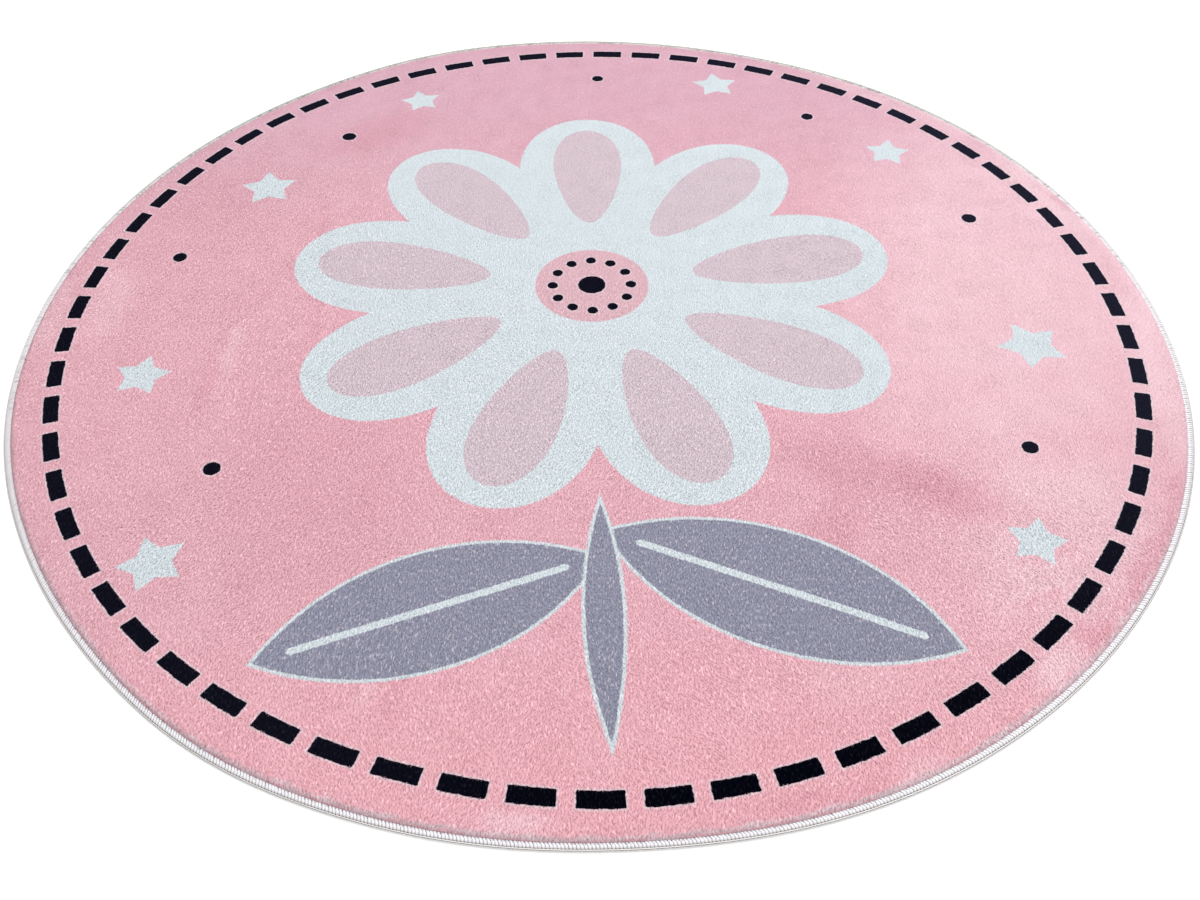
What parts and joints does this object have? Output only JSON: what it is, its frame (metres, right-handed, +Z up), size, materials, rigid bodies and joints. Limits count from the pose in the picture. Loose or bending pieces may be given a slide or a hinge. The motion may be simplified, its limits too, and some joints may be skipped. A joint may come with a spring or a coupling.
{
  "type": "round kids rug",
  "caption": "Round short-pile plush rug with an overlocked yarn edge, printed with a dashed ring and simple motifs, lying flat.",
  "frame": {"origin": "on the floor under the middle of the rug's box", "axes": "+Z up out of the pile, +Y away from the picture's camera, +X to its right"},
  "size_m": [1.2012, 1.1944, 0.0094],
  "materials": {
    "printed_plush": "short brushed plush pile, printed, matt",
    "overlock_yarn": "twisted yarn, soft sheen"
  },
  "bodies": {
    "root": {"pile_rug": "printed_plush", "edge_binding": "overlock_yarn"}
  },
  "joints": []
}
